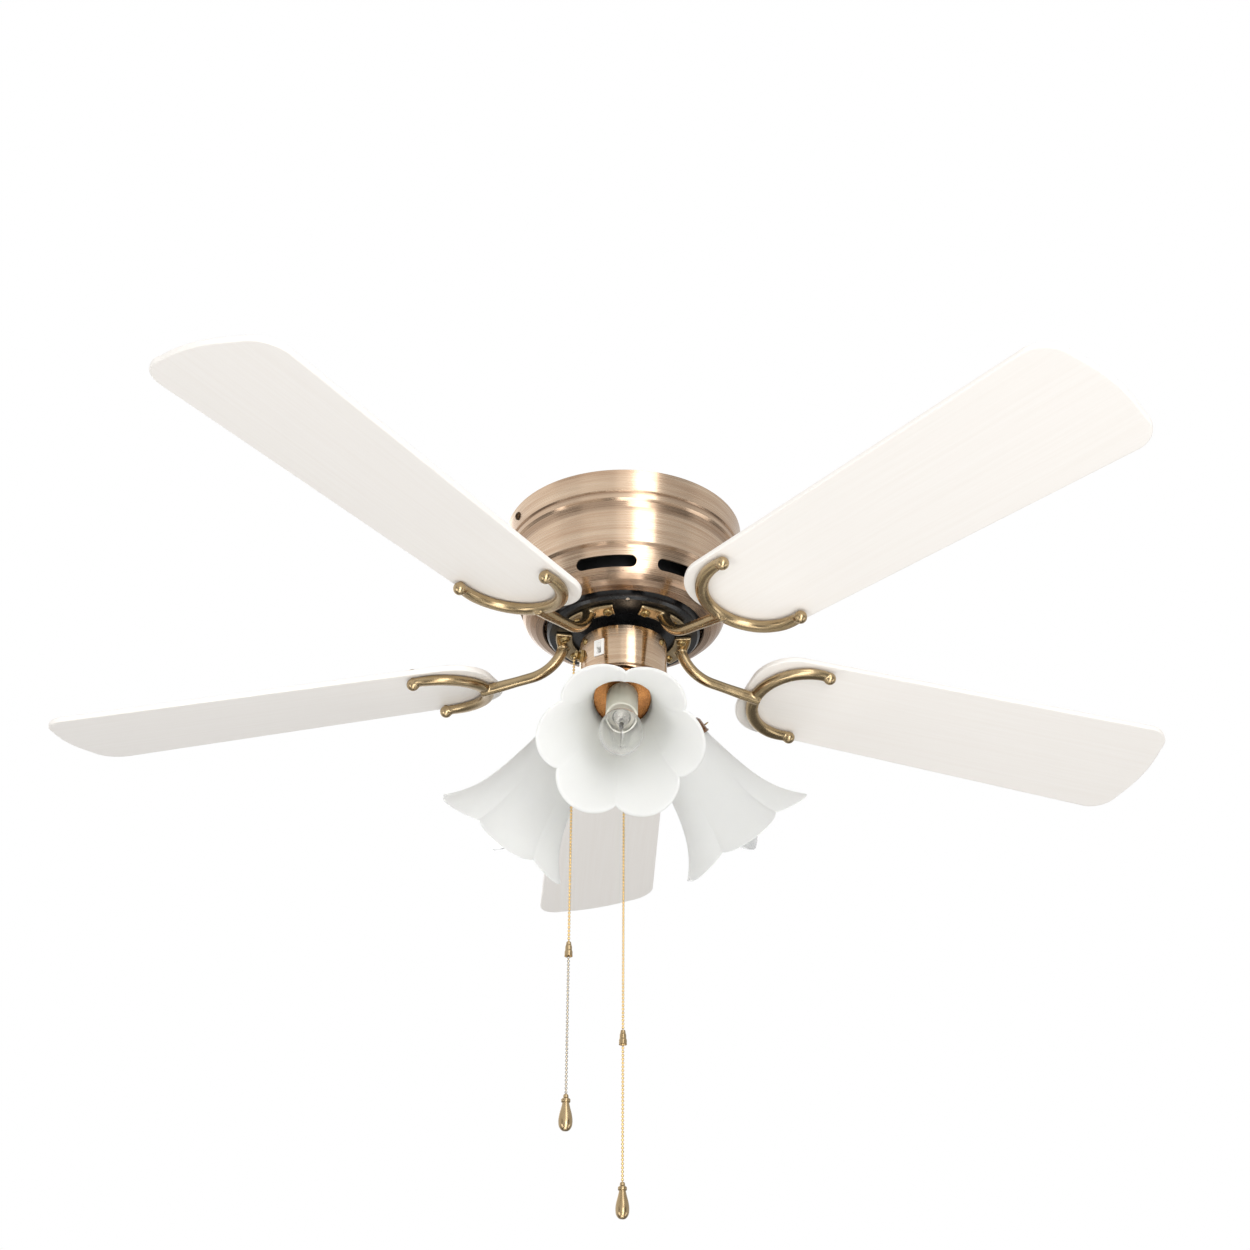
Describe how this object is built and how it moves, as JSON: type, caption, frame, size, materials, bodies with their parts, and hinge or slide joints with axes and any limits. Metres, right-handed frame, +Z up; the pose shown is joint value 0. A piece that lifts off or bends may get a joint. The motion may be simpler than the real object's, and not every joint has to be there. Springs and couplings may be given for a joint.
{
  "type": "ceiling fan with light",
  "caption": "Flush-mount ceiling fan with white blades on horseshoe irons, a brushed antique brass motor housing, a light kit with frosted bell shades, and bead pull chains.",
  "frame": {"origin": "centre of the ceiling plane, in the middle of the mounting plate's screw circle", "axes": "+Z up into the ceiling, the fan hangs towards -Z; the first lamp of the light kit points towards -Y"},
  "size_m": [1.0127, 0.9855, 0.588],
  "materials": {
    "brushed_antique_brass": "brushed, lacquered",
    "cast_antique_brass": "satin cast, highlighted",
    "polished_copper_brass": "polished",
    "bead_chain_brass": "polished",
    "zinc_plated_steel": "zinc plated",
    "bright_steel": "ground",
    "lamination_steel": "stacked",
    "copper_winding": "enamelled wire",
    "black_enamel": "gloss enamel",
    "white_blade_board": "satin white laminate",
    "frosted_glass": "frosted",
    "clear_glass": "clear",
    "ivory_plastic": "satin",
    "white_plastic": "gloss",
    "black_plastic": "matt",
    "socket_plastic": "matt",
    "wire_insulation": "matt",
    "bronzed_screw": "bronzed"
  },
  "bodies": {
    "fixed_frame": {"ceiling_plate": "zinc_plated_steel", "terminal_block": "socket_plastic", "hanger_plate": "zinc_plated_steel", "hanger_fasteners": "zinc_plated_steel", "motor_shaft": "bright_steel", "shaft_wires": "wire_insulation", "motor_housing": "brushed_antique_brass", "housing_screws": "bronzed_screw", "stator_core": "lamination_steel", "stator_windings": "copper_winding", "bearing_inner_races": "bright_steel", "switch_bracket": "zinc_plated_steel", "switch_housing": "brushed_antique_brass", "switch_housing_screws": "cast_antique_brass", "speed_switch": "black_plastic", "light_switch": "black_plastic", "run_capacitor": "black_plastic", "reverse_switch": "white_plastic", "chain_nipples": "cast_antique_brass", "switch_housing_cap": "zinc_plated_steel", "light_kit_rod": "zinc_plated_steel", "light_kit_body": "brushed_antique_brass", "finial": "brushed_antique_brass", "lamp_arms": "cast_antique_brass", "shade_cup_1": "polished_copper_brass", "shade_cup_2": "polished_copper_brass", "shade_cup_3": "polished_copper_brass", "lamp_holders": "socket_plastic", "candle_sleeves": "ivory_plastic", "bulbs": "clear_glass", "thumb_screws": "cast_antique_brass", "shade_1": "frosted_glass", "shade_2": "frosted_glass", "shade_3": "frosted_glass"},
    "rotor": {"bearing_outer_races": "bright_steel", "rotor_top_cover": "black_enamel", "rotor_ring": "lamination_steel", "rotor_bottom_cover": "black_enamel", "rotor_screws": "zinc_plated_steel", "blade_iron_1": "cast_antique_brass", "blade_iron_2": "cast_antique_brass", "blade_iron_3": "cast_antique_brass", "blade_iron_4": "cast_antique_brass", "blade_iron_5": "cast_antique_brass", "iron_screws": "cast_antique_brass", "blade_1": "white_blade_board", "blade_2": "white_blade_board", "blade_3": "white_blade_board", "blade_4": "white_blade_board", "blade_5": "white_blade_board", "blade_screws": "cast_antique_brass"},
    "bearing_cages": {"bearing_ball_cages": "bright_steel"},
    "reverse_slider": {"reverse_slider": "white_plastic"},
    "fan_pull": {"fan_chain": "bead_chain_brass", "fan_chain_connector": "cast_antique_brass", "fan_pull_fob": "brushed_antique_brass"},
    "light_pull": {"light_chain": "bead_chain_brass", "light_chain_connector": "cast_antique_brass", "light_pull_fob": "brushed_antique_brass"}
  },
  "joints": [
    {"name": "rotor_spin", "type": "hinge", "parent": "fixed_frame", "child": "rotor", "pos_m": [0, 0, -0.07], "axis": [0, 0, 1], "continuous": true},
    {"name": "bearing_roll", "type": "hinge", "parent": "fixed_frame", "child": "bearing_cages", "pos_m": [0, 0, -0.07], "axis": [0, 0, 1], "continuous": true},
    {"name": "fan_chain_pull", "type": "slide", "parent": "fixed_frame", "child": "fan_pull", "axis": [0, 0, -1], "range_m": [0, 0.012], "stiffness_N_per_m": 700, "springref_m": -0.002},
    {"name": "light_chain_pull", "type": "slide", "parent": "fixed_frame", "child": "light_pull", "axis": [0, 0, -1], "range_m": [0, 0.009], "stiffness_N_per_m": 700, "springref_m": -0.002},
    {"name": "reverse_slide", "type": "slide", "parent": "fixed_frame", "child": "reverse_slider", "axis": [0, 0, -1], "range_m": [0, 0.006]}
  ],
  "couplings": [
    {"joint": "bearing_roll", "follows": "rotor_spin", "ratio": 0.632}
  ]
}
